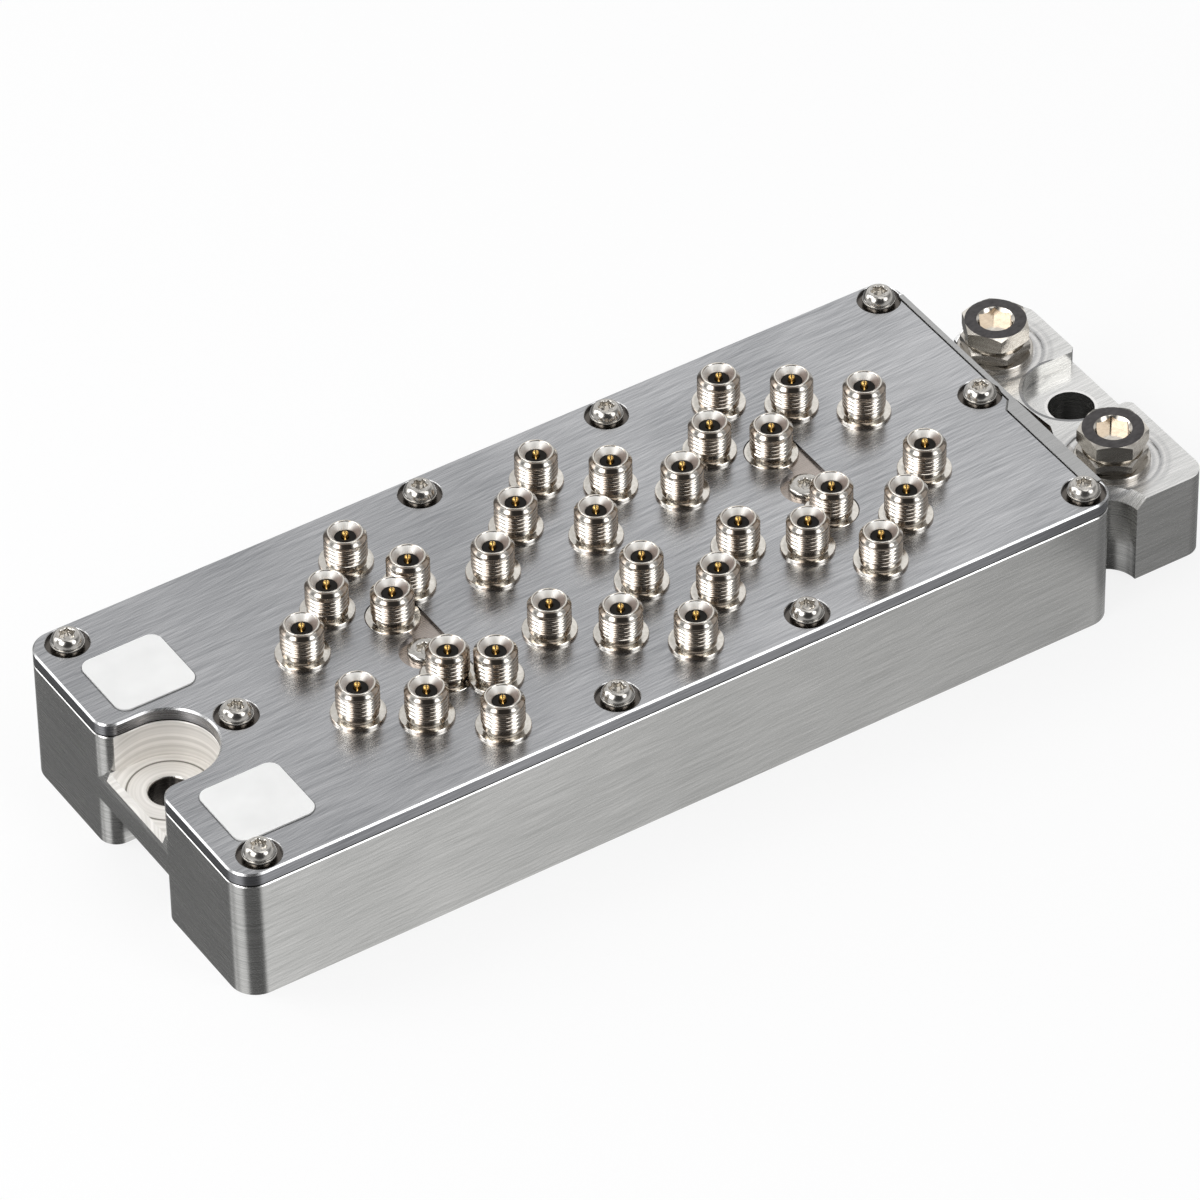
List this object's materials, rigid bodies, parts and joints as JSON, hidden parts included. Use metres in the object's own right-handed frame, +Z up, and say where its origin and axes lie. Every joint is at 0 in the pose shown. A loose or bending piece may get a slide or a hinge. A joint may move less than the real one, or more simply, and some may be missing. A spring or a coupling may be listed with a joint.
{
  "type": "multi-port rf bandpass filter block",
  "caption": "Milled metal filter block with a let-in lid, an array of threaded coaxial jacks, a bored end notch and a lower flange with an open slot and hexagon plugs.",
  "frame": {"origin": "centre of the bounding box's footprint, on the flat base", "axes": "+X along the length towards the flange, +Z up out of the jacks, -Y is the front seen in the picture"},
  "size_m": [0.167, 0.06, 0.0284],
  "materials": {
    "housing_alloy": "milled, fine hairlines",
    "lid_alloy": "glossy, fine diagonal hairlines",
    "jack_steel": "polished, threaded",
    "contact_gold": "gold plated",
    "screw_steel": "satin",
    "plug_steel": "satin",
    "nut_steel": "satin",
    "label_white": "smooth, blank",
    "board_green": "solder resist",
    "resonator_ceramic": "fired",
    "partition_brass": "plain sheet"
  },
  "bodies": {
    "root": {"housing": "housing_alloy", "lid": "lid_alloy", "jack_shells": "jack_steel", "centre_contacts": "contact_gold", "lid_screws": "screw_steel", "port_plug_front": "plug_steel", "port_plug_rear": "plug_steel", "jam_nut_front": "nut_steel", "jam_nut_rear": "nut_steel", "plug_washer_front": "nut_steel", "plug_washer_rear": "nut_steel", "label_front": "label_white", "label_rear": "label_white", "filter_board_left": "board_green", "filter_board_middle": "board_green", "filter_board_right": "board_green", "resonators_left": "resonator_ceramic", "resonators_middle": "resonator_ceramic", "resonators_right": "resonator_ceramic", "partitions_left": "partition_brass", "partitions_middle": "partition_brass", "partitions_right": "partition_brass"}
  },
  "joints": []
}
